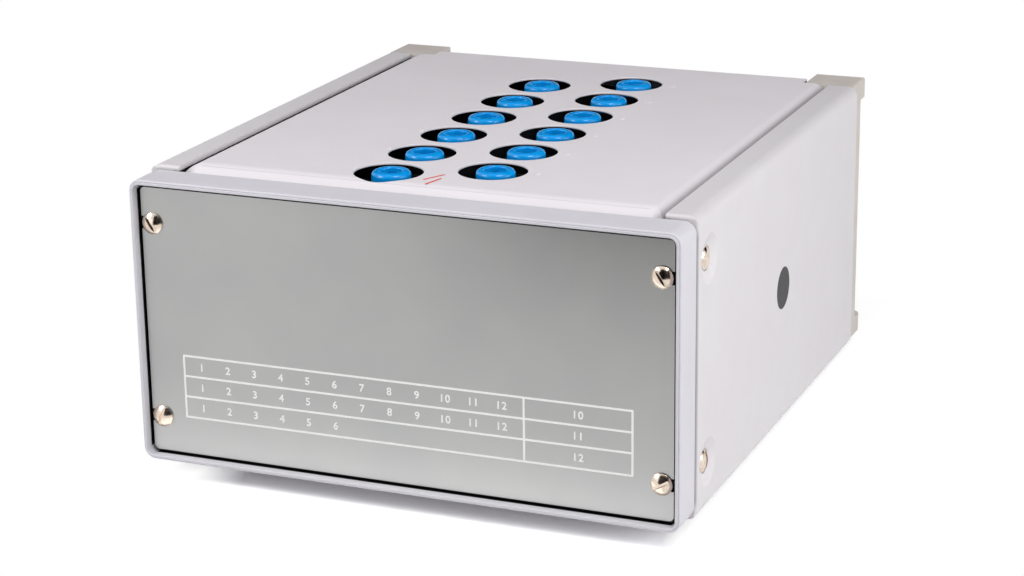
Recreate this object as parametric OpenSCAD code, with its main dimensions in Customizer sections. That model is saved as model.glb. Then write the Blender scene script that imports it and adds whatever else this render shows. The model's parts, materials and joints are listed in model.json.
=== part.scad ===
// High-resistance transfer standard: ten equal resistors in a zigzag chain between plug
// sockets, in a bench instrument case. +Z is up, the front plate faces -Y, and the origin
// is on the bench, under the middle of the case.

/* [Case] */
// Clear width of the front opening
opening_w = 230; // [222:1:300]
// Clear height of the front opening
opening_h = 115.5; // [108:0.5:160]
// Corner radius of the front opening
opening_r = 3; // [1.5:0.1:4]
// Depth of the case from the front lip to the back of the rear frame
case_d = 259.4; // [256:0.2:320]
// Width of the lip round the front opening
lip = 2; // [1.6:0.1:3]
// Depth of the front bezel
bezel_d = 18; // [14:0.5:20]
// Height of the raised ring that edges the opening
ring_h = 0.7; // [0.5:0.1:1.6]
// Width of the raised ring that edges the opening
ring_w = 1.1; // [0.8:0.1:1.5]
// Width of the groove between the raised ring and the shoulder
groove_w = 0.1; // [0.1:0.05:0.3]
// Radius of the bezel's rear edge
bezel_back_r = 0.4; // [0.3:0.1:1]
// Wall of the bezel and of the spigots behind it
cast_wall = 3; // [2.4:0.1:3.4]
// Width of the ledge that the front plate lies on
ledge = 4; // [3:0.5:5]
// Length of the spigots that the sides and covers fit over
spigot = 6; // [4:0.5:6.5]
// Gap between pieces that only lie side by side
seam = 0.3; // [0.2:0.1:0.6]
// Gap between a piece and the one it slides over
slide_fit = 0.3; // [0.1:0.05:0.4]

/* [Sides] */
// Wall of the side profiles
side_wall = 3.2; // [2.8:0.1:3.6]
// How far the sides stand out beyond the bezel
side_proud = 0.5; // [0:0.1:1.5]
// How far the rails stand up above the bezel
side_rise = 1.6; // [1:0.1:3]
// Radius of the outer edge of each rail
rail_r = 4.5; // [1:0.1:5]
// Radius of the side profiles' outer edges at their front ends
side_end_r = 1.5; // [1:0.1:3]
// Width of each rail, seen from above
rail_w = 13.3; // [11:0.1:16]
// Depth of the hook on the inner edge of each rail
hook_h = 9; // [6:0.5:9.5]
// Shadow gap between the bezel and the sides
side_gap = 1.2; // [0.4:0.1:2]
// Diameter of the dish round each side screw
dish_d = 20; // [16:0.5:24]
// Depth of the dish round each side screw
dish_h = 2.2; // [1.8:0.1:2.3]
// Distance of the side screws from the front lip
side_screw_y = 32.4; // [30:0.2:40]
// Diameter of the disc let into the right side
badge_d = 18; // [12:0.5:24]
// Thickness of the disc let into the right side
badge_t = 0.6; // [0.4:0.1:1]

/* [Covers] */
// Sheet thickness of the top and bottom covers
cover_t = 0.9; // [0.8:0.1:1.5]
// Bend radius at the sides of a cover
cover_r = 6; // [4:0.5:8.5]
// Bend radius at the front of a cover
cover_front_r = 10; // [4:0.5:10.5]
// Corner radius of a cover, seen from above
cover_corner_r = 3; // [2:0.5:8]
// Bend radius at the back of a cover
cover_back_r = 3; // [1.6:0.1:4]
// Width of the gap between a cover and a rail
cover_gap = 1.3; // [0.6:0.1:2]
// How far a cover stands up beyond the rails
cover_rise = 0.4; // [0.1:0.1:1]
// Height of the skirts of a cover
skirt_h = 11; // [10.8:0.1:12]
// Height of the skirt at the back of a cover
back_skirt_h = 5; // [4:0.5:6]
// Distance from the back of a cover to the back of the rear frame
cover_back = 3.4; // [1:0.1:5]

/* [Front and rear plates] */
// Thickness of the front and rear plates
plate_t = 2; // [1.5:0.1:2.5]
// Depth of the front plate's face behind the lip
plate_recess = 3.7; // [3.5:0.1:5]
// Gap round the front plate
plate_gap = 1.6; // [0.8:0.1:1.8]
// Corner radius of the front plate
plate_r = 2; // [1:0.1:4]
// Thickness of the dark gasket behind the front plate
gasket_t = 1; // [0.6:0.1:1.5]
// Thickness of the lugs that take the plate screws
lug_t = 4; // [3:0.5:5]
// Distance of the plate screws from the sides of the front opening
bolt_in_x = 6.5; // [6:0.1:6.5]
// Distance of the plate screws from the top and bottom of the front opening
bolt_in_z = 16.45; // [15.75:0.05:22]
// Width of the rear frame on each side of the rear plate
rear_side = 25; // [24:0.5:45]
// Height of the rear frame above and below the rear plate
rear_top = 15.75; // [15.75:0.25:22]
// Width of the land that the rear plate lies on
rear_land = 8; // [7:0.5:12]

/* [Rear frame] */
// Depth of the rear frame
frame_d = 13; // [11:0.2:16]
// How far the rear frame is set in from the bezel at each side
frame_inset = 1.4; // [0.8:0.1:2]
// Thickness of the wall that closes the back of the rear frame
frame_back = 4; // [3.4:0.1:5]
// Width of each corner foot
corner_w = 23.6; // [21:0.2:25]
// Height of each corner foot
corner_h = 9; // [8:0.2:9.2]
// How far each corner foot stands out behind the rear frame
corner_out = 8; // [7:0.2:12]
// Edge radius of the corner feet
corner_r = 1.5; // [0.5:0.1:2]

/* [Base feet] */
// Height of the rubber feet
foot_h = 6; // [5:0.5:12]
// Diameter of the rubber feet
foot_d = 22; // [16:0.5:28]
// Distance of the feet from the sides of the case
foot_side = 35.5; // [30:0.5:60]
// Distance of the feet from the front and the back
foot_in = 48; // [40:1:70]

/* [Socket field] */
// Number of sockets in each column
rows = 6; // [6:1:6]
// Distance of the last socket hole from the back of the rear frame
last_row = 42.2; // [40:0.2:50]
// Distance between the two columns
column_pitch = 38.8; // [36:0.1:44]
// How far the right column lies behind the left one
stagger = 15.4; // [12:0.1:16]
// Distance of the first socket hole from the front lip
first_row = 38.8; // [38:0.1:41]
// Land between two holes of a column
hole_land = 4.3; // [3.6:0.1:8]
// Bevel on the upper edge of the holes
hole_bevel = 0.2; // [0.1:0.05:0.5]
// How far the sockets sit to the right of the holes' centres
socket_shift = 1.1; // [0:0.1:2]
// Thickness of the insulating board that holds the sockets
board_t = 3; // [2.5:0.1:4]
// Width of the insulating board beyond the middles of the sockets on each side
board_side = 32.6; // [26:0.2:40]
// Depth of the board's face below the top of the cover
board_drop = 7.2; // [6.8:0.1:7.6]

/* [Sockets] */
// Outer diameter of a socket's head
socket_d = 16.1; // [14:0.1:18]
// How far a socket stands up beyond the top cover
socket_proud = 0.8; // [0:0.1:2.5]
// Diameter of a socket's mouth
mouth_d = 9.2; // [8.6:0.1:10]
// Radius of the socket's outer rim
socket_rim = 2; // [0.5:0.1:2.2]
// Radius of the edge of the socket's mouth
mouth_rim = 0.7; // [0.4:0.1:1.2]
// Depth of a socket's mouth
mouth_h = 9; // [7:0.5:10]
// Diameter of the stem below the board
stem_d = 12; // [11.4:0.1:13]
// Length of the stem below the board's face
stem_h = 16; // [14:0.5:17]
// Bore for a plug pin
contact_bore = 4; // [3.9:0.01:4.1]
// Outer diameter of a contact sleeve
contact_d = 6; // [5.4:0.1:6.6]
// Length of bore in a contact sleeve
contact_h = 14; // [12:0.5:14.5]
// Thickness of the ring nut under the board
nut_t = 4; // [3:0.5:5]
// Width of the nut across its flats
nut_w = 17; // [16:0.5:18]

/* [Resistors] */
// Diameter of a resistor's body
resistor_d = 7.2; // [5:0.1:7.6]
// Length of a resistor's body
resistor_l = 22; // [16:0.5:24]
// Length of the end caps of a resistor
cap_l = 4; // [3:0.5:5]
// Diameter of a resistor's leads
lead_d = 1; // [0.6:0.1:1.2]
// Drop between the two levels that the resistors lie in
level_drop = 8.6; // [8.4:0.1:9.2]
// Length of a contact's tail below the lower level
tail_end = 5; // [4:0.5:7]
// Length of the tab of a solder lug
lug_l = 8; // [7:0.5:10]
// Width of the earth strap
strap_w = 5; // [4:0.5:6]
// Length of the earth strap that lies level under the last socket
strap_run = 6; // [5:0.5:8]

/* [Frame bars] */
// Width of the tie bars that join the bezel to the rear frame
tie_w = 10.6; // [9:0.2:10.6]
// Height of the tie bars
tie_h = 12; // [10:0.5:12]
// Width of the cross bars that carry the board
cross_w = 10; // [8:0.5:10]
// Thickness of the cross bars that carry the board
cross_t = 3; // [2:0.1:4]
// Diameter of the insulating pillars under the board
pillar_d = 12; // [10:0.5:13]
// Distance of the pillars from the sides of the board
pillar_in = 12; // [9:0.5:14]

/* [Screws] */
// Thread diameter of the plate and side screws
screw_d = 5; // [4:0.5:5]
// Head diameter of the plate and side screws
head_d = 9; // [8:0.1:10]
// Head height of the front plate screws
head_h = 2.7; // [2:0.1:3.2]
// Width of the slots in the screw heads
slot_w = 1.3; // [0.8:0.1:1.6]
// Depth of the slots in the screw heads
slot_h = 1.2; // [0.6:0.1:1.4]
// Thread diameter of the smaller screws
small_d = 4; // [3:0.5:4]
// Head diameter of the smaller screws
small_head_d = 7.6; // [6.5:0.1:8]
// Head height of the smaller screws
small_head_h = 2.2; // [1.6:0.1:2.6]
// Length of thread of the larger screws in the tie bars' ends
long_grip = 8; // [6:0.5:10]
// Length of thread of the side screws in the tie bars
side_grip = 6; // [4:0.5:6]
// Length of thread of the smaller screws past the piece that they hold
small_grip = 5; // [4:0.5:6]
// Length of thread of the screws that hold the cross bars to the tie bars
short_grip = 3.2; // [2.6:0.1:3.2]
// Depth of the tapped holes in the ends of the tie bars
tap_h = 12; // [10:0.5:16]
// Room in a tapped hole past the tip of a larger screw
tip_room = 1.4; // [0.8:0.1:2]
// Room in a tapped hole past the tip of a smaller screw
small_tip = 0.6; // [0.3:0.1:0.6]

/* [Hidden] */

$fn = 64;
skin_fn = 32;
eps = 0.01;
cut = 1;

paint = "#cfcdd3";
light_paint = "#dfdee0";
foot_paint = "#c6beb8";
satin = "#a5a6a4";
nickel = "#d8cfc4";
brass = "#c9a557";
black = "#17161a";
blue = "#0a84d8";
ceramic = "#e8e2d4";
rubber = "#2a2a2c";
varnish = "#7d3a2c";

// Overall sizes that follow from the driving ones
bolt_w = opening_w - 2 * bolt_in_x;
bolt_h = opening_h - 2 * bolt_in_z;
rear_plate_w = opening_w - 2 * rear_side;
rear_plate_h = opening_h - 2 * rear_top;
row_pitch = (case_d - first_row - stagger - last_row) / (rows - 1);
hole_d = row_pitch - hole_land;
board_w = column_pitch + 2 * board_side;
pillar_w = board_w - 2 * pillar_in;
bezel_r = opening_r + lip;
shoulder_r = lip - ring_w - groove_w;
ring_edge_r = 0.25;
bezel_w = opening_w + 2 * lip;
bezel_h = opening_h + 2 * lip;
side_w = bezel_w + 2 * side_proud;
foot_w = side_w - 2 * foot_side;
side_h = bezel_h + 2 * side_rise;
frame_w = bezel_w - 2 * frame_inset;
front_y = -(case_d + corner_out) / 2;
mid_z = foot_h + cover_rise + side_h / 2;
cover_z = side_h / 2 + cover_rise;
seat_z = cover_z - skirt_h;
back_seat_z = cover_z - back_skirt_h;
frame_y = case_d - frame_d;
side_y0 = bezel_d + side_gap;
side_y1 = frame_y - seam;
spigot_w = side_w - 2 * side_wall - 2 * slide_fit;
cover_w = side_w - 2 * rail_w - 2 * cover_gap;
cover_y0 = bezel_d + seam;
cover_y1 = case_d - cover_back;
corner_z = side_h / 2 - corner_h;
corner_x = frame_w / 2 - corner_w;
pocket_y = case_d - frame_back;
side_tip = side_w / 2 - dish_h - side_wall - side_grip;
tie_y0 = plate_recess + plate_t + gasket_t + lug_t;
board_z = cover_z - board_drop;
socket_h = board_drop + socket_proud;
board_y0 = bezel_d + spigot + 2 * slide_fit;
board_y1 = frame_y - spigot - 2 * slide_fit;
cross_z = bolt_h / 2 - tie_h / 2 - cross_t;
contact_top = socket_h - mouth_h - (mouth_d - contact_d) / 2;
collar_t = 1.5;
collar_d = contact_d + 2.4;
tail_d = 2.4;
tail_h = level_drop + tail_end;
lug_w = 1.6;
lug_t2 = 0.6;
lead_level = 3;

// Height, over the board's face, of the underside of a contact sleeve's collar
tail_z = -stem_h - collar_t;

function behind(d) = front_y + d;
function hole_xy(side, i) = [
    side * column_pitch / 2,
    behind(first_row + (i - 1) * row_pitch + (side > 0 ? stagger : 0))
];
function socket_xy(side, i) = hole_xy(side, i) + [socket_shift, 0];
// The chain runs left, right, left, right from the front to the back
function chain_xy(n) = n % 2 == 0 ? socket_xy(-1, n / 2 + 1) : socket_xy(1, (n + 1) / 2);

module rounded(w, h, r) {
    square([w - 2 * r, h], center = true);
    square([w, h - 2 * r], center = true);
    for (x = [-1, 1], y = [-1, 1])
        translate([x * (w / 2 - r), y * (h / 2 - r)]) circle(r);
}

// A rounded rectangle across the case, from depth y0 to depth y1 behind the lip
module across(w, h, r, y0, y1) {
    translate([0, behind(y1), mid_z]) rotate([90, 0, 0]) linear_extrude(y1 - y0) rounded(w, h, r);
}

// A box given by its corners, with depths behind the lip and heights from the middle of the case
module block(x0, x1, y0, y1, z0, z1) {
    translate([x0, behind(y0), mid_z + z0]) cube([x1 - x0, y1 - y0, z1 - z0]);
}

// A cylinder along the depth of the case, at x and z from its middle
module along_y(d, x, z, y0, y1) {
    translate([x, behind(y1), mid_z + z]) rotate([90, 0, 0]) cylinder(d = d, h = y1 - y0);
}

module mirrored(on) {
    if (on) mirror([1, 0, 0]) children();
    else children();
}

module four_ways(w, h) {
    for (x = [-1, 1], z = [-1, 1]) translate([x * w / 2, 0, z * h / 2]) children();
}

// Round-headed slotted screw with its seat at z = 0 and its head up
module slotted_screw(d, wide, high, length, turn) {
    dome = high * 0.76;
    ball_r = (wide * wide / 4 + dome * dome) / (2 * dome);
    difference() {
        union() {
            intersection() {
                translate([0, 0, high - ball_r]) sphere(ball_r);
                cylinder(d = wide, h = high + cut);
            }
            translate([0, 0, -length]) cylinder(d = d, h = length + eps);
        }
        rotate([0, 0, turn]) translate([-wide, -slot_w / 2, high - slot_h]) cube([2 * wide, slot_w, slot_h + cut]);
    }
}

module hex_nut(flats, d, t) {
    difference() {
        cylinder(d = flats / cos(30), h = t, $fn = 6);
        translate([0, 0, -cut]) cylinder(d = d, h = t + 2 * cut);
    }
}

// Sweeps a section round a rounded rectangle that lies across the case. The section's x runs
// outwards from the corners' centres, and its y runs from the front lip to the back.
module swept_frame(w, h, r) {
    translate([0, behind(0), mid_z]) rotate([-90, 0, 0]) for (k = [0 : 3]) rotate([0, 0, 90 * k]) {
        wide = k % 2 == 0 ? w : h;
        high = k % 2 == 0 ? h : w;
        translate([wide / 2 - r, high / 2 - r, 0]) {
            rotate_extrude(angle = 90) children();
            rotate([90, 0, 0]) linear_extrude(high - 2 * r) children();
        }
    }
}

// Section of the bezel's rim: a raised ring, a groove, a rounded shoulder and a rounded back edge
module rim_section() {
    x0 = opening_r;
    x1 = opening_r + lip;
    e = ring_edge_r;
    difference() {
        union() {
            translate([x0, e]) square([ring_w, bezel_d - 1]);
            translate([x0 + e, 0]) square([ring_w - 2 * e, bezel_d - 1]);
            for (x = [x0 + e, x0 + ring_w - e]) translate([x, e]) circle(e, $fn = skin_fn);
            translate([x0, ring_h]) square([lip - shoulder_r, bezel_d - ring_h]);
            translate([x1 - shoulder_r, ring_h + shoulder_r]) circle(shoulder_r, $fn = skin_fn);
            translate([x0, ring_h + shoulder_r]) square([lip, bezel_d - ring_h - shoulder_r - bezel_back_r]);
            translate([x1 - bezel_back_r, bezel_d - bezel_back_r]) circle(bezel_back_r, $fn = skin_fn);
        }
        translate([x1 - bezel_back_r, bezel_d - bezel_back_r]) difference() {
            square(2 * bezel_back_r);
            circle(bezel_back_r, $fn = skin_fn);
        }
        translate([x0 + ring_w, ring_h - cut]) square([groove_w, cut + 2 * groove_w]);
    }
}

// Front bezel: a cast ring with a raised edge, a ledge and lugs for the plate, and a spigot
module bolt_lugs() {
    back = plate_recess + plate_t + gasket_t;
    reach = bolt_w / 2 - head_d;
    for (x = [-1, 1], z = [-1, 1])
        scale_sign(x, z) block(reach, opening_w / 2, back, back + lug_t, bolt_h / 2 - head_d, bolt_h / 2 + head_d);
}

// Copies a solid of the upper right quarter to the quarter with signs x and z
module scale_sign(x, z) {
    translate([0, 0, mid_z]) mirror([x < 0 ? 1 : 0, 0, 0]) mirror([0, 0, z < 0 ? 1 : 0])
        translate([0, 0, -mid_z]) children();
}

module tie_clearance(grow) {
    for (x = [-1, 1], z = [-1, 1])
        scale_sign(x, z)
            block(bolt_w / 2 - tie_w / 2 - grow, bolt_w / 2 + tie_w / 2 + grow, tie_y0, pocket_y,
                  bolt_h / 2 - tie_h / 2 - grow, bolt_h / 2 + tie_h / 2 + grow);
}

module front_bezel() color(paint) {
    seat = plate_recess + plate_t + gasket_t;
    difference() {
        union() {
            difference() {
                union() {
                    swept_frame(opening_w, opening_h, opening_r) rim_section();
                    across(opening_w + 1, opening_h + 1, opening_r + 0.5, seat, bezel_d - bezel_back_r);
                    across(opening_w - 1, opening_h - 1, opening_r, bezel_d - cast_wall, bezel_d);
                    across(spigot_w, 2 * seat_z, bezel_r, bezel_d - 1, bezel_d + spigot);
                }
                across(opening_w - 2 * ledge, opening_h - 2 * ledge, opening_r, 0, seat + cast_wall);
                across(bezel_w - 2 * cast_wall, bezel_h - 2 * cast_wall, opening_r, seat + cast_wall,
                       bezel_d - cast_wall);
                across(spigot_w - 2 * cast_wall, 2 * seat_z - 2 * cast_wall, opening_r, seat + cast_wall,
                       bezel_d + spigot + cut);
            }
            bolt_lugs();
        }
        four_ways(bolt_w, bolt_h) along_y(screw_d + slide_fit, 0, 0, 0, bezel_d);
        tie_clearance(slide_fit);
    }
}

module front_gasket() color(black) difference() {
    across(opening_w - 2 * slide_fit, opening_h - 2 * slide_fit, opening_r, plate_recess + plate_t,
           plate_recess + plate_t + gasket_t);
    difference() {
        across(opening_w - 2 * ledge, opening_h - 2 * ledge, opening_r, 0, bezel_d);
        bolt_pads();
    }
    four_ways(bolt_w, bolt_h) along_y(screw_d + slide_fit, 0, 0, 0, bezel_d);
}

module bolt_pads() {
    reach = bolt_w / 2 - head_d;
    for (x = [-1, 1], z = [-1, 1])
        scale_sign(x, z) block(reach, opening_w / 2, 0, bezel_d, bolt_h / 2 - head_d, bolt_h / 2 + head_d);
}

module front_plate() color(satin) difference() {
    across(opening_w - 2 * plate_gap, opening_h - 2 * plate_gap, plate_r, plate_recess,
           plate_recess + plate_t);
    for (x = [-1, 1], z = [-1, 1]) scale_sign(x, z) {
        along_y(screw_d + slide_fit, bolt_w / 2, bolt_h / 2, 0, bezel_d);
        block(bolt_w / 2, opening_w, 0, bezel_d, bolt_h / 2 - (screw_d + slide_fit) / 2,
              bolt_h / 2 + (screw_d + slide_fit) / 2);
    }
}

// The slots stand at the angles that the screws were left at
slot_turns = [[-58, 72], [-56, 28]];

module front_plate_screws() color(nickel)
    for (i = [0, 1], k = [0, 1])
        translate([(i == 0 ? -1 : 1) * bolt_w / 2, behind(plate_recess), mid_z + (k == 0 ? 1 : -1) * bolt_h / 2])
            rotate([90, 0, 0])
                slotted_screw(screw_d, head_d, head_h, plate_t + gasket_t + lug_t + long_grip, slot_turns[i][k]);

// Side profile: a tall wall with a hooked rail along its top and its bottom edge
module side_outline(inset) {
    r = rail_r - min(inset, rail_r - 0.2);
    w = rail_w - inset;
    x0 = side_w / 2 - rail_w + inset;
    h = side_h - 2 * inset;
    translate([x0, -h / 2]) square([w - inset - r, h]);
    translate([x0, -h / 2 + r]) square([w - inset, h - 2 * r]);
    for (z = [-1, 1]) translate([side_w / 2 - inset - r, z * (h / 2 - r)]) circle(r);
}

module side_section() difference() {
    side_outline(0);
    side_outline(side_wall);
    translate([side_w / 2 - rail_w - cut, -side_h / 2 + hook_h]) square([side_wall + 2 * cut, side_h - 2 * hook_h]);
}

// A length of the profile with its outer edges rounded at the front end
module side_length() {
    l = side_y1 - side_y0;
    long = l + 2 * side_end_r;
    deep = side_w - 2 * rail_w;
    intersection() {
        translate([0, behind(side_y1), mid_z]) rotate([90, 0, 0]) linear_extrude(l) side_section();
        translate([side_w / 2 - deep / 2, behind(side_y0) + long / 2, 0]) linear_extrude(2 * mid_z)
            rounded(deep, long, side_end_r);
        translate([0, behind(side_y0) + long / 2, mid_z]) rotate([90, 0, 90]) linear_extrude(side_w)
            rounded(long, side_h, side_end_r);
    }
}

dish_ball_r = (dish_d * dish_d / 4 + dish_h * dish_h) / (2 * dish_h);

module side(right) color(light_paint) mirrored(!right) difference() {
    side_length();
    for (z = [-1, 1]) translate([side_w / 2, behind(side_screw_y), mid_z + z * bolt_h / 2]) rotate([0, 90, 0]) {
        translate([0, 0, dish_ball_r - dish_h]) sphere(dish_ball_r);
        translate([0, 0, -dish_h]) cylinder(d = head_d + 1, h = dish_h);
        translate([0, 0, -2 * side_wall]) cylinder(d = screw_d + slide_fit, h = 2 * side_wall);
    }
    if (right) translate([side_w / 2 - badge_t, 0, 0]) disc_place() cylinder(d = badge_d + 0.2, h = badge_t + cut);
}

// Places the disc at the middle of the side's height and length
module disc_place() {
    translate([0, behind((side_y0 + side_y1) / 2), mid_z]) rotate([0, 90, 0]) children();
}

module side_disc() color(black) translate([side_w / 2 - badge_t, 0, 0]) disc_place() cylinder(d = badge_d, h = badge_t);

module side_screws(right) color(nickel) mirrored(!right)
    for (z = [-1, 1])
        translate([side_w / 2 - dish_h, behind(side_screw_y), mid_z + z * bolt_h / 2]) rotate([0, 90, 0])
            slotted_screw(screw_d, head_d, dish_h - 0.2, side_wall + side_grip, z * 40 + 30);

// Cover: a sheet with its edges bent down over a large radius and mitred at the corners
module cover_front_view(inset) {
    r = cover_r - inset;
    w = cover_w - 2 * inset;
    h = skirt_h - inset + (inset > 0 ? cut : 0);
    translate([-w / 2 + r, -h + cover_z - inset]) square([w - 2 * r, h]);
    translate([-w / 2, -h + cover_z - inset]) square([w, h - r]);
    for (x = [-1, 1]) translate([x * (w / 2 - r), cover_z - inset - r]) circle(r);
}

module cover_side_view(inset) {
    rf = cover_front_r - inset;
    rb = cover_back_r - inset;
    y0 = cover_y0 + inset;
    y1 = cover_y1 - inset;
    h = skirt_h - inset + (inset > 0 ? cut : 0);
    top = cover_z - inset;
    translate([y0 + rf, top - h]) square([y1 - y0 - rf - rb, h]);
    translate([y0, top - h]) square([y1 - y0, h - max(rf, rb)]);
    translate([y1 - 2 * rb, top - h]) square([2 * rb, h - rb]);
    translate([y0 + rf, top - rf]) circle(rf);
    translate([y1 - rb, top - rb]) circle(rb);
}

// Plan of a cover: the full width up to the rear frame, and a tongue between the corner feet
module cover_plan(inset) {
    y0 = cover_y0 + inset;
    y1 = frame_y - 2 * seam - inset;
    y2 = cover_y1 - inset;
    r = cover_corner_r - inset;
    translate([0, behind((y0 + y1) / 2)]) rounded(cover_w - 2 * inset, y1 - y0, r);
    translate([0, behind((y0 + y2) / 2)]) rounded(2 * (corner_x - seam - inset), y2 - y0, r);
}

module cover_form(inset) intersection() {
    translate([0, behind(case_d), mid_z]) rotate([90, 0, 0]) linear_extrude(case_d) cover_front_view(inset);
    translate([-side_w / 2, behind(0), mid_z]) rotate([90, 0, 90]) linear_extrude(side_w) cover_side_view(inset);
    translate([0, 0, mid_z]) linear_extrude(side_h) cover_plan(inset);
}

module cover() difference() {
    cover_form(0);
    cover_form(cover_t);
    block(-side_w, side_w, 0, case_d, 0, seat_z);
    block(-side_w, side_w, frame_y - spigot - 2 * slide_fit, case_d, 0, back_seat_z);
}

module top_cover() color(light_paint) difference() {
    cover();
    for (side = [-1, 1], i = [1:rows])
        translate([hole_xy(side, i)[0], hole_xy(side, i)[1], mid_z]) {
            cylinder(d = hole_d, h = side_h);
            translate([0, 0, cover_z - hole_bevel]) cylinder(d1 = hole_d, d2 = hole_d + 2 * hole_bevel, h = hole_bevel + eps);
        }
}

module bottom_cover() color(light_paint) difference() {
    scale_sign(1, -1) cover();
    for (p = foot_places()) translate([p[0], p[1], 0]) cylinder(d = small_d + slide_fit, h = mid_z);
}

// Rear frame: a cast back with a plate window, seats for the covers and notches for the corner feet
module rear_frame() color(foot_paint) difference() {
    union() {
        across(frame_w, bezel_h, bezel_r, frame_y, case_d);
        across(spigot_w - 2 * frame_inset, 2 * seat_z, bezel_r, frame_y - spigot, frame_y + 1);
    }
    across(spigot_w - 2 * frame_inset - 2 * cast_wall, 2 * seat_z - 2 * cast_wall, opening_r,
           frame_y - spigot - cut, pocket_y);
    across(rear_plate_w - 2 * rear_land, rear_plate_h - 2 * rear_land, opening_r, frame_y, case_d + cut);
    across(rear_plate_w + 2 * slide_fit, rear_plate_h + 2 * slide_fit, opening_r, case_d - plate_t, case_d + cut);
    for (x = [-1, 1], z = [-1, 1]) scale_sign(x, z) {
        block(corner_x - eps, side_w, frame_y - cut, case_d + cut, corner_z, side_h);
        block(-eps, side_w, frame_y - cut, case_d + cut, back_seat_z, side_h);
        along_y(screw_d + slide_fit, bolt_w / 2, bolt_h / 2, pocket_y - cut, case_d + cut);
        along_y(small_d + slide_fit, tongue_x(), tongue_z(), pocket_y - cut, case_d + cut);
    }
    four_ways(rear_plate_w - rear_land, rear_plate_h - rear_land)
        along_y(small_d + slide_fit, 0, 0, pocket_y - cut, case_d + cut);
    tie_clearance(slide_fit);
}

module rear_plate() color(satin) difference() {
    across(rear_plate_w, rear_plate_h, opening_r, case_d - plate_t, case_d);
    four_ways(rear_plate_w - rear_land, rear_plate_h - rear_land)
        along_y(small_d + slide_fit, 0, 0, 0, case_d + cut);
}

module rear_plate_screws() color(nickel)
    four_ways(rear_plate_w - rear_land, rear_plate_h - rear_land)
        translate([0, behind(case_d), mid_z]) rotate([-90, 0, 0])
            slotted_screw(small_d, small_head_d, small_head_h, frame_back + small_grip - 1, 25);

module frame_screws() color(nickel)
    four_ways(bolt_w, bolt_h)
        translate([0, behind(case_d), mid_z]) rotate([-90, 0, 0])
            slotted_screw(screw_d, head_d, head_h, frame_back + long_grip, 60);

// Corner foot: a pad let into the rear frame's corner, with a wedge behind the frame that is
// screwed to it
foot_drop = 10.6;
tongue_t = 3.4;
tongue_x1 = bolt_w / 2 - head_d / 2 - 1;
slant_z = bolt_h / 2 + head_d / 2 + 0.6;
function tongue_x() = corner_x + 5.6;
function tongue_z() = corner_z - foot_drop / 2;

module pad_outline(w, h) translate([w / 2, h / 2]) rounded(w, h, corner_r);

module corner_foot(x, z) color(foot_paint) scale_sign(x, z) difference() {
    x1 = frame_w / 2;
    y1 = case_d + corner_out;
    z0 = corner_z - foot_drop;
    z1 = side_h / 2;
    sharp = 2 * corner_r;
    intersection() {
        union() {
            intersection() {
                translate([corner_x, behind(y1), mid_z + corner_z - sharp]) rotate([90, 0, 0])
                    linear_extrude(y1 - frame_y) pad_outline(corner_w, corner_h + sharp);
                block(corner_x, x1, frame_y, y1, corner_z, z1);
            }
            translate([0, behind(y1), mid_z]) rotate([90, 0, 0]) linear_extrude(corner_out) polygon([
                [corner_x, z0], [tongue_x1, z0], [tongue_x1, slant_z], [x1, corner_z], [x1, corner_z + corner_h / 2],
                [corner_x, corner_z + corner_h / 2]
            ]);
        }
        translate([corner_x, behind(frame_y) - sharp, mid_z + z0 - cut]) linear_extrude(z1 - z0 + 2 * cut)
            pad_outline(corner_w, y1 - frame_y + sharp);
        translate([corner_x - cut, behind(frame_y) - sharp, mid_z + z0]) rotate([90, 0, 90])
            linear_extrude(corner_w + 2 * cut) pad_outline(y1 - frame_y + sharp, z1 - z0);
    }
    along_y(small_d + slide_fit, tongue_x(), tongue_z(), case_d - cut, y1 + cut);
    along_y(small_head_d + 1, tongue_x(), tongue_z(), case_d + tongue_t, y1 + cut);
}

module corner_foot_screws() color(nickel)
    for (x = [-1, 1], z = [-1, 1]) scale_sign(x, z)
        translate([tongue_x(), behind(case_d + tongue_t), mid_z + tongue_z()]) rotate([-90, 0, 0])
            slotted_screw(small_d, small_head_d, small_head_h, tongue_t + frame_back, 80);

// Base feet: tapered rubber feet, screwed through the bottom cover
function foot_places() = [
    [-foot_w / 2, behind(foot_in)], [foot_w / 2, behind(foot_in)],
    [-foot_w / 2, behind(case_d - foot_in)], [foot_w / 2, behind(case_d - foot_in)]
];
foot_web = 2.4;

module base_foot(i) color(rubber) translate([foot_places()[i][0], foot_places()[i][1], 0]) rotate_extrude()
    difference() {
        polygon([
            [0, 0], [foot_d / 2 - 1.8, 0], [foot_d / 2 - 0.8, 1], [foot_d / 2, foot_h], [0, foot_h]
        ]);
        translate([-cut, -cut]) square([small_head_d / 2 + 1 + cut, foot_h - foot_web + cut]);
        translate([-cut, -cut]) square([small_d / 2 + slide_fit / 2 + cut, foot_h + 2 * cut]);
    }

foot_grip = foot_web + cover_t;

module base_foot_screws() color(nickel)
    for (p = foot_places()) translate([p[0], p[1], foot_h - foot_web]) rotate([180, 0, 0])
        slotted_screw(small_d, small_head_d, small_head_h, foot_grip + small_grip, 15);

module base_foot_nuts() color(nickel)
    for (p = foot_places()) translate([p[0], p[1], foot_h + cover_t]) hex_nut(7, small_d + 0.02, 3.2);

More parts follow.
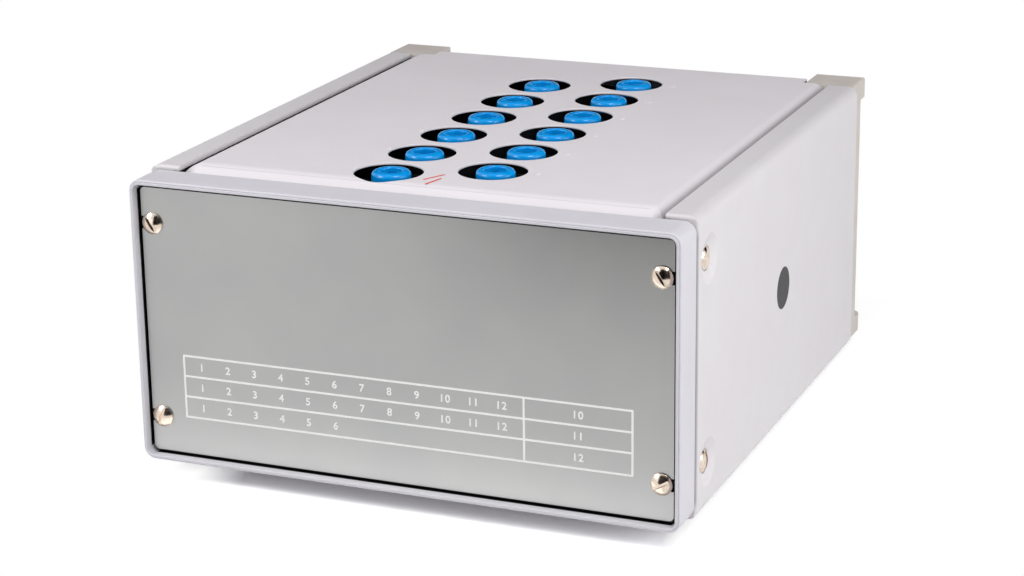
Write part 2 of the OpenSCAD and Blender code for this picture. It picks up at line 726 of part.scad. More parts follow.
// Skeleton: four tie bars from the bezel to the rear frame, and two cross bars under the board
module tie_bar(x, z) color(satin) scale_sign(x, z) difference() {
    block(bolt_w / 2 - tie_w / 2, bolt_w / 2 + tie_w / 2, tie_y0, pocket_y,
          bolt_h / 2 - tie_h / 2, bolt_h / 2 + tie_h / 2);
    along_y(screw_d + 0.1, bolt_w / 2, bolt_h / 2, tie_y0 - cut, tie_y0 + tap_h);
    along_y(screw_d + 0.1, bolt_w / 2, bolt_h / 2, pocket_y - tap_h, pocket_y + cut);
    translate([side_tip - tip_room, behind(side_screw_y), mid_z + bolt_h / 2]) rotate([0, 90, 0])
        cylinder(d = screw_d + 0.1, h = tie_w);
    if (z > 0) for (y = cross_places())
        translate([bolt_w / 2, behind(y), mid_z + cross_z]) cylinder(d = small_d + 0.1, h = cross_t + short_grip + small_tip);
}

function cross_places() = [board_y0 + max(cross_w, pillar_d) / 2, board_y1 - max(cross_w, pillar_d) / 2];

module cross_bar(y) color(satin) difference() {
    block(-bolt_w / 2 - tie_w / 2, bolt_w / 2 + tie_w / 2, y - cross_w / 2, y + cross_w / 2, cross_z, cross_z + cross_t);
    for (x = [-1, 1]) {
        translate([x * bolt_w / 2, behind(y), mid_z + cross_z - cut]) cylinder(d = small_d + slide_fit, h = cross_t + 2 * cut);
        translate([x * pillar_w / 2, behind(y), mid_z + cross_z - cut]) cylinder(d = small_d + slide_fit, h = cross_t + 2 * cut);
    }
}

module cross_bar_screws() color(nickel)
    for (y = cross_places(), x = [-1, 1])
        translate([x * bolt_w / 2, behind(y), mid_z + cross_z]) rotate([180, 0, 0])
            slotted_screw(small_d, small_head_d, small_head_h, cross_t + short_grip, 45);

pillar_h = board_z - board_t - cross_z - cross_t;

module board_pillars() color(ceramic)
    for (y = cross_places(), x = [-1, 1])
        translate([x * pillar_w / 2, behind(y), mid_z + cross_z + cross_t]) difference() {
            cylinder(d = pillar_d, h = pillar_h);
            for (k = [1, 2, 3]) translate([0, 0, k * pillar_h / 4]) rotate_extrude()
                translate([pillar_d / 2, 0]) circle(0.9, $fn = skin_fn);
            translate([0, 0, -cut]) cylinder(d = small_d + 0.1, h = pillar_h + 2 * cut);
        }

module board_screws() color(nickel)
    for (y = cross_places(), x = [-1, 1])
        translate([x * pillar_w / 2, behind(y), mid_z]) {
            translate([0, 0, board_z]) slotted_screw(small_d, small_head_d, small_head_h, board_t + small_grip, 10);
            translate([0, 0, cross_z]) rotate([180, 0, 0])
                slotted_screw(small_d, small_head_d, small_head_h, cross_t + small_grip, 10);
        }

module socket_board() color(black) difference() {
    translate([-board_w / 2, behind(board_y0), mid_z + board_z - board_t]) cube([board_w, board_y1 - board_y0, board_t]);
    for (side = [-1, 1], i = [1:rows])
        at_socket(side, i) translate([0, 0, -board_t - cut]) cylinder(d = stem_d + slide_fit, h = board_t + 2 * cut);
    for (y = cross_places(), x = [-1, 1])
        translate([x * pillar_w / 2, behind(y), mid_z]) cylinder(d = small_d + slide_fit, h = side_h);
}

// Places a piece on the board's face at one socket
module at_socket(side, i) {
    translate([socket_xy(side, i)[0], socket_xy(side, i)[1], mid_z + board_z]) children();
}

// Socket shell: one turned shape with a rounded rim, a wide mouth and a stem for the contact
module socket(side, i) color(blue) at_socket(side, i) rotate_extrude($fn = 96) {
    r = socket_d / 2;
    rim = socket_rim;
    inner_rim = mouth_rim;
    bore = contact_d / 2 + 0.05;
    difference() {
        union() {
            translate([bore, 0]) square([r - bore, socket_h - rim]);
            translate([bore, 0]) square([r - rim - bore, socket_h]);
            translate([r - rim, socket_h - rim]) circle(rim, $fn = 48);
            translate([bore, -stem_h]) square([stem_d / 2 - bore, stem_h + eps]);
        }
        translate([0, socket_h - mouth_h]) square([mouth_d / 2, mouth_h + cut]);
        polygon([
            [0, socket_h - mouth_h + eps], [mouth_d / 2, socket_h - mouth_h + eps],
            [bore, contact_top], [0, contact_top]
        ]);
        difference() {
            translate([mouth_d / 2 - cut, socket_h - inner_rim]) square([inner_rim + cut, inner_rim + cut]);
            translate([mouth_d / 2 + inner_rim, socket_h - inner_rim]) circle(inner_rim, $fn = 48);
        }
    }
}

// Contact sleeve: a plug bore above, a collar under the stem and a tail to solder to
module contact_sleeve() rotate_extrude() difference() {
    union() {
        translate([0, -stem_h]) square([contact_d / 2, stem_h + contact_top]);
        translate([0, tail_z]) square([collar_d / 2, collar_t]);
        translate([0, tail_z - tail_h]) square([tail_d / 2, tail_h + eps]);
    }
    translate([-cut, contact_top - contact_h]) square([contact_bore / 2 + cut, contact_h + cut]);
}

module contact_sleeves() color(nickel)
    for (side = [-1, 1], i = [1:rows]) at_socket(side, i) contact_sleeve();

module socket_nuts() color(nickel)
    for (side = [-1, 1], i = [1:rows]) at_socket(side, i)
        translate([0, 0, -board_t - nut_t]) hex_nut(nut_w, stem_d + 0.1, nut_t);

// Solder lugs: a ring under each collar with a tab that points outwards
module solder_lugs() color(brass)
    for (side = [-1, 1], i = [1:rows]) at_socket(side, i) translate([0, 0, tail_z - lug_t2]) difference() {
        union() {
            cylinder(d = collar_d, h = lug_t2);
            translate([side > 0 ? 0 : -lug_l, -lug_w, 0]) cube([lug_l, 2 * lug_w, lug_t2]);
        }
        translate([0, 0, -cut]) cylinder(d = tail_d + 0.1, h = lug_t2 + 2 * cut);
    }

// Resistors: a varnished body with end caps and leads, hung between the tails of two sockets
module resistor(a, b, z) {
    span = norm(b - a);
    gap = tail_d / 2 + 0.2;
    translate([a[0], a[1], mid_z + board_z + z]) rotate([0, 0, atan2(b[1] - a[1], b[0] - a[0])]) rotate([0, 90, 0]) {
        translate([0, 0, gap]) cylinder(d = lead_d, h = span - 2 * gap);
        translate([0, 0, (span - resistor_l + cap_l) / 2]) cylinder(d = resistor_d, h = resistor_l - cap_l);
        for (e = [(span - resistor_l) / 2, (span + resistor_l) / 2 - cap_l])
            translate([0, 0, e]) cylinder(d = resistor_d + 0.8, h = cap_l);
    }
}

module resistors(level) color(varnish)
    for (n = [level : 2 : 2 * rows - 3])
        resistor(chain_xy(n), chain_xy(n + 1), tail_z - lug_t2 - lead_level - level * level_drop);

// Earth strap: from the last socket's tail to the rear cross bar
module earth_strap() color(brass) {
    p = socket_xy(1, rows);
    z0 = mid_z + board_z + tail_z - 2 * lug_t2 - slide_fit;
    y1 = behind(cross_places()[1] + cross_w / 4);
    bar_y = behind(cross_places()[1] - cross_w / 2) - 1;
    zc = mid_z + cross_z - lug_t2;
    w = strap_w;
    difference() {
        union() {
            translate([p[0], p[1], z0]) cylinder(d = w, h = lug_t2);
            translate([p[0] - w / 2, p[1], z0]) cube([w, strap_run, lug_t2]);
            hull() {
                translate([p[0] - w / 2, p[1] + strap_run - eps, z0]) cube([w, lug_t2, lug_t2]);
                translate([p[0] - w / 2, bar_y, zc]) cube([w, lug_t2, lug_t2]);
            }
            translate([p[0] - w / 2, bar_y, zc]) cube([w, y1 - bar_y, lug_t2]);
        }
        translate([p[0], p[1], z0 - cut]) cylinder(d = tail_d + 0.1, h = lug_t2 + 2 * cut);
    }
}

front_bezel();
front_gasket();
front_plate();
front_plate_screws();
side(false);  // left_side
side(true);  // right_side
side_screws(false);  // left_side_screws
side_screws(true);  // right_side_screws
side_disc();
top_cover();
bottom_cover();
rear_frame();
rear_plate();
rear_plate_screws();
frame_screws();
corner_foot(-1, 1);  // corner_foot_upper_left
corner_foot(1, 1);  // corner_foot_upper_right
corner_foot(-1, -1);  // corner_foot_lower_left
corner_foot(1, -1);  // corner_foot_lower_right
corner_foot_screws();
base_foot(0);  // base_foot_front_left
base_foot(1);  // base_foot_front_right
base_foot(2);  // base_foot_rear_left
base_foot(3);  // base_foot_rear_right
base_foot_screws();
base_foot_nuts();
tie_bar(-1, 1);  // tie_bar_upper_left
tie_bar(1, 1);  // tie_bar_upper_right
tie_bar(-1, -1);  // tie_bar_lower_left
tie_bar(1, -1);  // tie_bar_lower_right
cross_bar(cross_places()[0]);  // cross_bar_front
cross_bar(cross_places()[1]);  // cross_bar_rear
cross_bar_screws();
board_pillars();
board_screws();
socket_board();
contact_sleeves();
socket_nuts();
solder_lugs();
earth_strap();
for (i = [1:rows]) {
    socket(-1, i);
    socket(1, i);
}
resistors(0);  // resistors_upper_level
resistors(1);  // resistors_lower_level
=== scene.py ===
"""The looks of a bench resistance standard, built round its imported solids.

All sizes are in metres, in the frame that the solids give: the case stands on the table at
z = 0, and its front plate faces -Y.
"""

import json
import math

import bmesh
import bpy
from mathutils import Euler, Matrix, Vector


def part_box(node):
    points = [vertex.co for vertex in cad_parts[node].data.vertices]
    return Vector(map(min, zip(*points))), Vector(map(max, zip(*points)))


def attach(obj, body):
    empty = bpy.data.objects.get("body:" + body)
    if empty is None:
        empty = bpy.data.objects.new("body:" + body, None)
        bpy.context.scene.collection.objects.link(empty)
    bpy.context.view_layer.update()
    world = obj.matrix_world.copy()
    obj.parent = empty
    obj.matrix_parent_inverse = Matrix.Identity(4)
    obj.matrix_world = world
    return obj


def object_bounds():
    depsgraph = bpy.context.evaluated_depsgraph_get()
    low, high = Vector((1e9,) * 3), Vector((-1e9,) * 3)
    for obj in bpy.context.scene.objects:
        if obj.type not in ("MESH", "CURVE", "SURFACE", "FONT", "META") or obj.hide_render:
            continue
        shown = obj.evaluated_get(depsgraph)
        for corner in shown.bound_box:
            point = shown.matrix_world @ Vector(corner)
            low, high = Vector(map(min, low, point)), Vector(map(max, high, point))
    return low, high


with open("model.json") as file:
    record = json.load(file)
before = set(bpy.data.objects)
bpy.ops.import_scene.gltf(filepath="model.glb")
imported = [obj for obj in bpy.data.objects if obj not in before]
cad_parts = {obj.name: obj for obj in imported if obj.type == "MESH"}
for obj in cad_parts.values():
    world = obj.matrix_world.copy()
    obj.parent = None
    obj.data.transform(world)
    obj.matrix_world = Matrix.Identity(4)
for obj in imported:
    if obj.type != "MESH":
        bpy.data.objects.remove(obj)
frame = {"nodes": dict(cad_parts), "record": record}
cad_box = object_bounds()

MM = 0.001

# Surfaces that the print and the dark joints are laid out from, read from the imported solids
plate_low, plate_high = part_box("front_plate")
cover_low, cover_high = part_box("top_cover")
PLATE_Y = plate_low[1]
PLATE_MID_Z = (plate_low[2] + plate_high[2]) / 2
PLATE_HALF_X = plate_high[0]
PLATE_HALF_Z = plate_high[2] - PLATE_MID_Z
COVER_Z = cover_high[2]
COVER_EDGE_X = cover_high[0]
COVER_FRONT_Y = cover_low[1]
SIDE_FRONT_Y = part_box("right_side")[0][1]
CASE_FRONT_Y = cad_box[0][1]
CASE_BACK_Y = cad_box[1][1]


# Materials


def colour(hex_code):
    """A colour written as sRGB hex, as the linear values that a shader takes."""
    values = [int(hex_code[i : i + 2], 16) / 255 for i in (1, 3, 5)]
    linear = [v / 12.92 if v <= 0.04045 else ((v + 0.055) / 1.055) ** 2.4 for v in values]
    return (*linear, 1.0)


def add(tree, kind, settings=None):
    """Adds one node. A setting goes to the socket or the option of its name, or to the socket
    of its number. Where it is the output of another node, the two are linked."""
    node = tree.nodes.new(kind)
    for name, value in (settings or {}).items():
        if isinstance(name, str) and name not in node.inputs:
            setattr(node, name, value)
        elif isinstance(value, bpy.types.NodeSocket):
            tree.links.new(value, node.inputs[name])
        else:
            node.inputs[name].default_value = value
    return node


def new_material(name):
    """An empty material and its tree of nodes."""
    material = bpy.data.materials.new(name)
    material.use_nodes = True
    material.node_tree.nodes.clear()
    return material, material.node_tree


def clouds(tree, size_mm, detail=2.0, stretch=(1.0, 1.0, 1.0)):
    """A cloudy pattern that keeps its real size on the object: each cloud is size_mm across,
    and longer along an axis whose stretch is below one."""
    place = add(tree, "ShaderNodeTexCoord").outputs["Object"]
    mapping = add(tree, "ShaderNodeMapping", {"Vector": place, "Scale": stretch})
    noise = {"Vector": mapping.outputs["Vector"], "Scale": 1 / (size_mm * MM)}
    cloudy = {"Detail": detail, "Roughness": 0.55}
    return add(tree, "ShaderNodeTexNoise", {**noise, **cloudy}).outputs["Fac"]


# The part of a cloudy pattern's range that its values really fill
CLOUDS_LOW = 0.3
CLOUDS_HIGH = 0.7


def lay(tree, settings, tones, dulling, texture, span=(CLOUDS_LOW, CLOUDS_HIGH), patch=None):
    """Lays the surface of a material. Its colour runs between two tones over a span of a
    pattern, its roughness between two levels, and its relief up to a depth in millimetres at a
    strength, each after the pattern that comes first. A patch has another colour where its
    mask is one."""
    pattern, low, high = tones
    ramp = add(tree, "ShaderNodeValToRGB", {"Fac": pattern})
    for element, position, tone in zip(ramp.color_ramp.elements, span, (low, high)):
        element.position = position
        element.color = colour(tone)
    base = ramp.outputs["Color"]
    if patch:
        mask, tone = patch
        mix = add(tree, "ShaderNodeMixRGB", {"Fac": mask, "Color1": base, "Color2": colour(tone)})
        base = mix.outputs["Color"]

    pattern, least, most = dulling
    bounds = {"From Min": CLOUDS_LOW, "From Max": CLOUDS_HIGH, "To Min": least, "To Max": most}
    rough = add(tree, "ShaderNodeMapRange", {"Value": pattern, **bounds})

    pattern, depth_mm, strength = texture
    relief = {"Height": pattern, "Distance": depth_mm * MM, "Strength": strength}
    bump = add(tree, "ShaderNodeBump", relief)

    patterns = {
        "Base Color": base,
        "Roughness": rough.outputs["Result"],
        "Normal": bump.outputs["Normal"],
    }
    shader = add(tree, "ShaderNodeBsdfPrincipled", {**settings, **patterns})
    add(tree, "ShaderNodeOutputMaterial", {"Surface": shader.outputs["BSDF"]})


# Painted shade. A dark colour is laid on the enamel where shade falls: deep in the joints, in the
# gap round the front plate and on the covers' insides. These are the shares of it that show on the
# spigot between the bezel and the sides, at the top and down the sides; on the rails' inner edges,
# in front and at the back; on the covers' bent edges; and on the sides' front ends.
PAINTED_SHADE = "#161412"
SPIGOT_SHADE_TOP = 0.25
SPIGOT_SHADE_SIDE = 0.9
RAIL_SHADE_FRONT = 0.03
RAIL_SHADE_REAR = 0.75
COVER_EDGE_SHADE = 0.65
SIDE_END_SHADE = 0.4

# Where the painted shade begins and where it is whole, as distances in millimetres. Inwards from
# the level of the covers:
RAIL_EDGE_DEPTHS = (1.0, 3.0)
RAIL_WALL_DEPTHS = (2.1, 2.6)
SIDE_END_DEPTHS = (5, 9)
SPIGOT_WALL_DEPTHS = (2.2, 4)
COVER_EDGE_DEPTHS = (0.1, 4)
COVER_INSIDE_DEPTHS = (0.6, 0.8)
# Outwards from the covers' side edges, to the inner and the outer walls of the joints there:
JOINT_INNER = (-3.5, -2)
COVER_EDGE_INNER = (-5, -2)
JOINT_OUTER = (4, 3)
COVER_INSIDE_ACROSS = (-6, -7)
# Back from the covers' front edges, and from the sides' front ends:
SPIGOT_START = (-0.2, 0)
COVER_INSIDE_BACK = (6, 7)
SIDE_END_BACK = (1.0, 0.2)
# Outwards from the front plate's edges, past its corners and back from its face:
SPIGOT_FADE = (-3, 2)
GAP_EDGES = (2.4, 2.1)
GAP_CORNERS = (0.8, 0.4)
GAP_BACK = (-0.1, 0.2)


def measures(tree):
    """Where a point of the case lies: across from its middle, back along it, above or below its
    middle, and inwards from the level of the covers."""
    place = add(tree, "ShaderNodeTexCoord").outputs["Object"]
    x, y, z = add(tree, "ShaderNodeSeparateXYZ", {"Vector": place}).outputs
    across = add(tree, "ShaderNodeMath", {"operation": "ABSOLUTE", 0: x}).outputs[0]
    lift = add(tree, "ShaderNodeMath", {"operation": "SUBTRACT", 0: z, 1: PLATE_MID_Z}).outputs[0]
    height = add(tree, "ShaderNodeMath", {"operation": "ABSOLUTE", 0: lift}).outputs[0]
    level = COVER_Z - PLATE_MID_Z
    depth = add(tree, "ShaderNodeMath", {"operation": "SUBTRACT", 0: level, 1: height}).outputs[0]
    return across, y, height, depth


def within(tree, *bounds):
    """One where every bound is met, and zero where one of them fails. A bound is a measure, the
    surface it is taken from, and the distances from that surface, in millimetres, at which the
    bound fails and is met, with a straight passage between them."""
    share = 1.0
    for measure, surface, (fails, met) in bounds:
        limits = {"From Min": surface + fails * MM, "From Max": surface + met * MM}
        passed = add(tree, "ShaderNodeMapRange", {"Value": measure, **limits}).outputs["Result"]
        product = add(tree, "ShaderNodeMath", {"operation": "MULTIPLY", 0: passed, 1: share})
        share = product.outputs[0]
    return share


def joint_walls(tree, across, depth, depths, inner=JOINT_INNER):
    """One on the walls of the joints beside the covers, past the given depths."""
    return within(
        tree,
        (across, COVER_EDGE_X, inner),
        (across, COVER_EDGE_X, JOINT_OUTER),
        (depth, 0.0, depths),
    )


def painted_shade_on_sides(tree):
    """Painted shade: more and more of it down the rails' round inner edges, where the shade
    deepens, and more towards the back of the case, and some of it on the sides' front ends, in the
    joint beside the bezel."""
    across, y, _, depth = measures(tree)
    along = {"From Min": CASE_FRONT_Y, "From Max": CASE_BACK_Y}
    shades = {"To Min": RAIL_SHADE_FRONT, "To Max": RAIL_SHADE_REAR}
    shade = add(tree, "ShaderNodeMapRange", {"Value": y, **along, **shades}).outputs["Result"]
    edges = joint_walls(tree, across, depth, RAIL_EDGE_DEPTHS)
    edges = add(tree, "ShaderNodeMath", {"operation": "MULTIPLY", 0: edges, 1: shade}).outputs[0]
    walls = joint_walls(tree, across, depth, RAIL_WALL_DEPTHS)
    rails = add(tree, "ShaderNodeMath", {"operation": "MAXIMUM", 0: edges, 1: walls}).outputs[0]
    ends = within(tree, (depth, 0.0, SIDE_END_DEPTHS), (y, SIDE_FRONT_Y, SIDE_END_BACK))
    ends = add(tree, "ShaderNodeMath", {"operation": "MULTIPLY", 0: ends, 1: SIDE_END_SHADE})
    both = {"operation": "MAXIMUM", 0: rails, 1: ends.outputs[0]}
    return add(tree, "ShaderNodeMath", both).outputs[0]


def painted_shade_on_bezel(tree):
    """Painted shade: whole on the parts of the bezel's spigot that lie deep in the joints beside
    the covers, less on the rest of the spigot, and whole in the gap round the front plate."""
    across, y, height, depth = measures(tree)
    low, high = (PLATE_HALF_Z + distance * MM for distance in SPIGOT_FADE)
    shades = {"To Min": SPIGOT_SHADE_SIDE, "To Max": SPIGOT_SHADE_TOP}
    fade = {"Value": height, "From Min": low, "From Max": high, **shades}
    shade = add(tree, "ShaderNodeMapRange", fade).outputs["Result"]
    walls = joint_walls(tree, across, depth, SPIGOT_WALL_DEPTHS)
    spigot = add(tree, "ShaderNodeMath", {"operation": "MAXIMUM", 0: walls, 1: shade}).outputs[0]
    behind = within(tree, (y, COVER_FRONT_Y, SPIGOT_START))
    spigot = add(tree, "ShaderNodeMath", {"operation": "MULTIPLY", 0: behind, 1: spigot}).outputs[0]
    diagonal = add(tree, "ShaderNodeMath", {"operation": "ADD", 0: across, 1: height}).outputs[0]
    gap = within(
        tree,
        (across, PLATE_HALF_X, GAP_EDGES),
        (height, PLATE_HALF_Z, GAP_EDGES),
        (y, PLATE_Y, GAP_BACK),
        (diagonal, PLATE_HALF_X + PLATE_HALF_Z, GAP_CORNERS),
    )
    return add(tree, "ShaderNodeMath", {"operation": "MAXIMUM", 0: spigot, 1: gap}).outputs[0]


def painted_shade_on_covers(tree):
    """Painted shade: some down the covers' bent edges, and whole on the covers' insides."""
    across, y, _, depth = measures(tree)
    edges = joint_walls(tree, across, depth, COVER_EDGE_DEPTHS, COVER_EDGE_INNER)
    edges = add(tree, "ShaderNodeMath", {"operation": "MULTIPLY", 0: edges, 1: COVER_EDGE_SHADE})
    inside = within(
        tree,
        (across, COVER_EDGE_X, COVER_INSIDE_ACROSS),
        (y, COVER_FRONT_Y, COVER_INSIDE_BACK),
        (depth, 0.0, COVER_INSIDE_DEPTHS),
    )
    both = {"operation": "MAXIMUM", 0: edges.outputs[0], 1: inside}
    return add(tree, "ShaderNodeMath", both).outputs[0]


def sprayed_enamel(name, low, high, peel_mm, gloss, painted_shade_mask):
    """Stoved enamel, sprayed on aluminium. The spray leaves a fine orange peel, and the coat a soft
    sheen, with cloudy differences of a few centimetres. A mask lays painted shade, a dark colour,
    where shade falls in the joints and recesses."""
    material, tree = new_material(name)
    lay(
        tree,
        {"IOR": 1.5, "Specular IOR Level": 0.3},
        tones=(clouds(tree, 38), low, high),
        dulling=(clouds(tree, 9), gloss, gloss + 0.08),
        texture=(clouds(tree, peel_mm, 1.0), 0.02, 0.35),
        # Painted shade where the mask is one
        patch=(painted_shade_mask(tree), PAINTED_SHADE),
    )
    return material


def etched_plate():
    """Aluminium sheet, etched matt and then anodised grey. The etch scatters the light so that
    the plate shows only a soft, cloudy picture of the table. Its pits are a few hundredths of
    a millimetre wide, and are made half a millimetre wide so that they show."""
    material, tree = new_material("etched_anodised_aluminium")
    lay(
        tree,
        {"Metallic": 1.0},
        tones=(clouds(tree, 24, 3.0), "#aeafae", "#b3b3b2"),
        dulling=(clouds(tree, 6), 0.32, 0.36),
        texture=(clouds(tree, 0.5), 0.006, 0.4),
    )
    return material


def drawn_aluminium():
    """Bare aluminium bar. The die that it was pulled through leaves lines of about a tenth of a
    millimetre along the bar, which are made several times as coarse so that they show."""
    material, tree = new_material("drawn_aluminium")
    lines = clouds(tree, 0.6, stretch=(1.0, 0.03, 1.0))
    lay(
        tree,
        {"Metallic": 1.0},
        tones=(lines, "#a9aaab", "#bdbebf"),
        dulling=(lines, 0.32, 0.45),
        texture=(lines, 0.01, 0.5),
    )
    return material


def nickel_plate():
    """Bright nickel over turned steel. It is warm and nearly a mirror, with a little bloom from
    handling. The marks of turning are made a third of a millimetre wide so that they show."""
    material, tree = new_material("bright_nickel_plate")
    bloom = clouds(tree, 2.2, 3.0)
    lay(
        tree,
        {"Metallic": 1.0},
        tones=(bloom, "#d9c7b6", "#ebdccd"),
        dulling=(bloom, 0.12, 0.24),
        texture=(clouds(tree, 0.35, 1.0), 0.004, 0.5),
    )
    return material


# Where a socket's blue ends and its painted shade, near-black deep in its hole, begins, in
# millimetres up from the top cover
SHADED_FOOT_HEIGHTS = (-3.6, -4.2)


def moulded_socket():
    """Glossy moulded polyamide, dyed blue. Light goes a little way in, so that the rim glows, and
    the polished mould leaves a nearly flat gloss. Deep under the cover its lower part is painted
    near-black, as painted shade in the holes."""
    material, tree = new_material("moulded_blue_polyamide")
    swirl = clouds(tree, 5)
    place = add(tree, "ShaderNodeTexCoord").outputs["Object"]
    z = add(tree, "ShaderNodeSeparateXYZ", {"Vector": place}).outputs["Z"]
    lay(
        tree,
        {
            "IOR": 1.53,
            "Specular IOR Level": 0.3,
            "Subsurface Weight": 0.1,
            "Subsurface Radius": (0.1, 0.3, 1.0),
            "Subsurface Scale": 0.6 * MM,
        },
        tones=(swirl, "#0092df", "#059eef"),
        dulling=(swirl, 0.16, 0.22),
        texture=(clouds(tree, 1.1, 1.0), 0.008, 0.35),
        # Painted shade: near-black on the sockets' lower parts, deep in the holes
        patch=(within(tree, (z, COVER_Z, SHADED_FOOT_HEIGHTS)), "#0b0b0c"),
    )
    return material


def laminate_board():
    """Black phenolic paper laminate, ground matt, with a faint cloud of settled dust."""
    material, tree = new_material("pressed_phenolic_laminate")
    dust = clouds(tree, 1.6, 4.0)
    lay(
        tree,
        {"IOR": 1.6, "Specular IOR Level": 0.08},
        tones=(dust, "#070606", "#100d0b"),
        dulling=(dust, 0.8, 0.95),
        texture=(dust, 0.01, 0.4),
        span=(0.45, 0.8),
    )
    return material


def moulded_rubber():
    """Moulded nitrile rubber. It is matt and slightly grey, with a fine skin from the mould."""
    material, tree = new_material("moulded_nitrile_rubber")
    skin = clouds(tree, 0.8)
    lay(
        tree,
        {"IOR": 1.52},
        tones=(skin, "#1c1c1d", "#29292a"),
        dulling=(skin, 0.65, 0.8),
        texture=(skin, 0.03, 0.5),
    )
    return material


def moulded_foot():
    """Moulded ABS in a warm grey. The mould's walls were eroded by sparks, whose pits of about
    a tenth of a millimetre are made four times as coarse so that they show."""
    material, tree = new_material("spark_textured_abs")
    spark = clouds(tree, 0.45, 1.0)
    lay(
        tree,
        {"IOR": 1.54},
        tones=(clouds(tree, 14), "#cbc3bd", "#d3ccc6"),
        dulling=(spark, 0.5, 0.62),
        texture=(spark, 0.02, 0.5),
    )
    return material


def glazed_ceramic():
    """Glazed steatite. The glaze is glossy over a cream body, with faint specks in it."""
    material, tree = new_material("glazed_steatite")
    specks = clouds(tree, 0.7, 3.0)
    lay(
        tree,
        {"IOR": 1.5, "Coat Weight": 0.6, "Coat Roughness": 0.05},
        tones=(specks, "#ded6c4", "#efe9db"),
        dulling=(specks, 0.25, 0.35),
        texture=(clouds(tree, 2.5), 0.02, 0.3),
    )
    return material


def dipped_varnish():
    """Red-brown alkyd varnish, dipped over a wound former. The wire shows as hoops, which are
    made coarser than its few tenths of a millimetre so that they show."""
    material, tree = new_material("dipped_alkyd_varnish")
    hoops = clouds(tree, 0.9, 1.0, (1.0, 0.25, 0.25))
    lay(
        tree,
        {"IOR": 1.52, "Coat Weight": 0.5, "Coat Roughness": 0.1},
        tones=(hoops, "#6b2c20", "#8c4130"),
        dulling=(hoops, 0.3, 0.42),
        texture=(hoops, 0.05, 0.6),
    )
    return material


def tinned_brass():
    """Rolled brass strip, tinned thinly, so that the yellow shows through where it is worn."""
    material, tree = new_material("tinned_rolled_brass")
    wear = clouds(tree, 1.4, 3.0)
    lay(
        tree,
        {"Metallic": 1.0},
        tones=(wear, "#c2a45f", "#c9c3b4"),
        dulling=(wear, 0.28, 0.45),
        texture=(wear, 0.01, 0.4),
    )
    return material


def screen_ink(name, low, high):
    """Screen-printed ink, quite matt. The screen's threads, a fifth of a millimetre apart, leave
    thin places in the film, which are made twice as coarse so that they show."""
    material, tree = new_material(name)
    film = clouds(tree, 0.5, 3.0)
    lay(
        tree,
        {"IOR": 1.48},
        tones=(film, low, high),
        dulling=(film, 0.5, 0.7),
        texture=(film, 0.01, 0.3),
        span=(0.35, 0.6),
    )
    return material


def dark_disc():
    """Pressed dark plastic disc, matt, with a faint grain."""
    material, tree = new_material("pressed_dark_plastic")
    grain = clouds(tree, 0.6)
    lay(
        tree,
        {"IOR": 1.5, "Specular IOR Level": 0.3},
        tones=(grain, "#1c1a1d", "#282629"),
        dulling=(grain, 0.4, 0.55),
        texture=(grain, 0.02, 0.4),
    )
    return material


# The covers and sides share one paint. The covers take a lighter copy of it, as painted light that
# makes them brighter than the rails beside them.
lighter_cover_enamel = sprayed_enamel(
    "sprayed_enamel_covers",
    low="#e6e1e5",
    high="#e9e4e8",
    peel_mm=0.45,
    gloss=0.4,
    painted_shade_mask=painted_shade_on_covers,
)
side_enamel = sprayed_enamel(
    "sprayed_enamel_sides",
    low="#dad6d9",
    high="#dddadc",
    peel_mm=0.45,
    gloss=0.4,
    painted_shade_mask=painted_shade_on_sides,
)
bezel_enamel = sprayed_enamel(
    "sprayed_enamel_bezel",
    low="#d4d2d8",
    high="#d8d6dc",
    peel_mm=0.5,
    gloss=0.42,
    painted_shade_mask=painted_shade_on_bezel,
)
white_ink = screen_ink("white_screen_ink", "#f2f2f0", "#fbfbf9")
red_ink = screen_ink("red_screen_ink", "#d8463f", "#e55a52")

FINISHES = {
    "bezel_paint": bezel_enamel,
    "case_paint": side_enamel,
    "foot_plastic": moulded_foot(),
    "plate_aluminium": etched_plate(),
    "bar_aluminium": drawn_aluminium(),
    "nickel": nickel_plate(),
    "brass": tinned_brass(),
    "black_laminate": laminate_board(),
    "black_rubber": moulded_rubber(),
    "socket_blue": moulded_socket(),
    "ceramic": glazed_ceramic(),
    "varnish": dipped_varnish(),
    "disc_plastic": dark_disc(),
}
COVERS = ("top_cover", "bottom_cover")
for entry in frame["record"]["subparts"]:
    node = entry["node"]
    mesh = frame["nodes"][node].data
    mesh.materials.clear()
    mesh.materials.append(lighter_cover_enamel if node in COVERS else FINISHES[entry["material_slot"]])


# Print

# How thick the film of ink is, and how far it lies off the surface that carries it, so that
# the two never share a place
INK = 0.03 * MM
INK_OFF = 0.02 * MM

# How far the outlines of the numbers are pushed out, as the ink runs a little into the paint
BOLDER = 0.1 * MM

# The height of the font's figures, as a share of its size, and the room that each one takes
FIGURE_HEIGHT = 0.7
FIGURE_SPACING = 1.15

# How many flats the round end of a stroke has
END_FLATS = 5


def put(name, mesh, material):
    """Puts a finished mesh in the scene, in its material."""
    data = bpy.data.meshes.new(name)
    mesh.to_mesh(data)
    mesh.free()
    data.materials.append(material)
    thing = bpy.data.objects.new(name, data)
    bpy.context.scene.collection.objects.link(thing)
    return thing


def piece(name, mesh, material):
    """Puts a finished mesh in the scene, as a piece that rides on the case."""
    thing = put(name, mesh, material)
    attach(thing, "root")


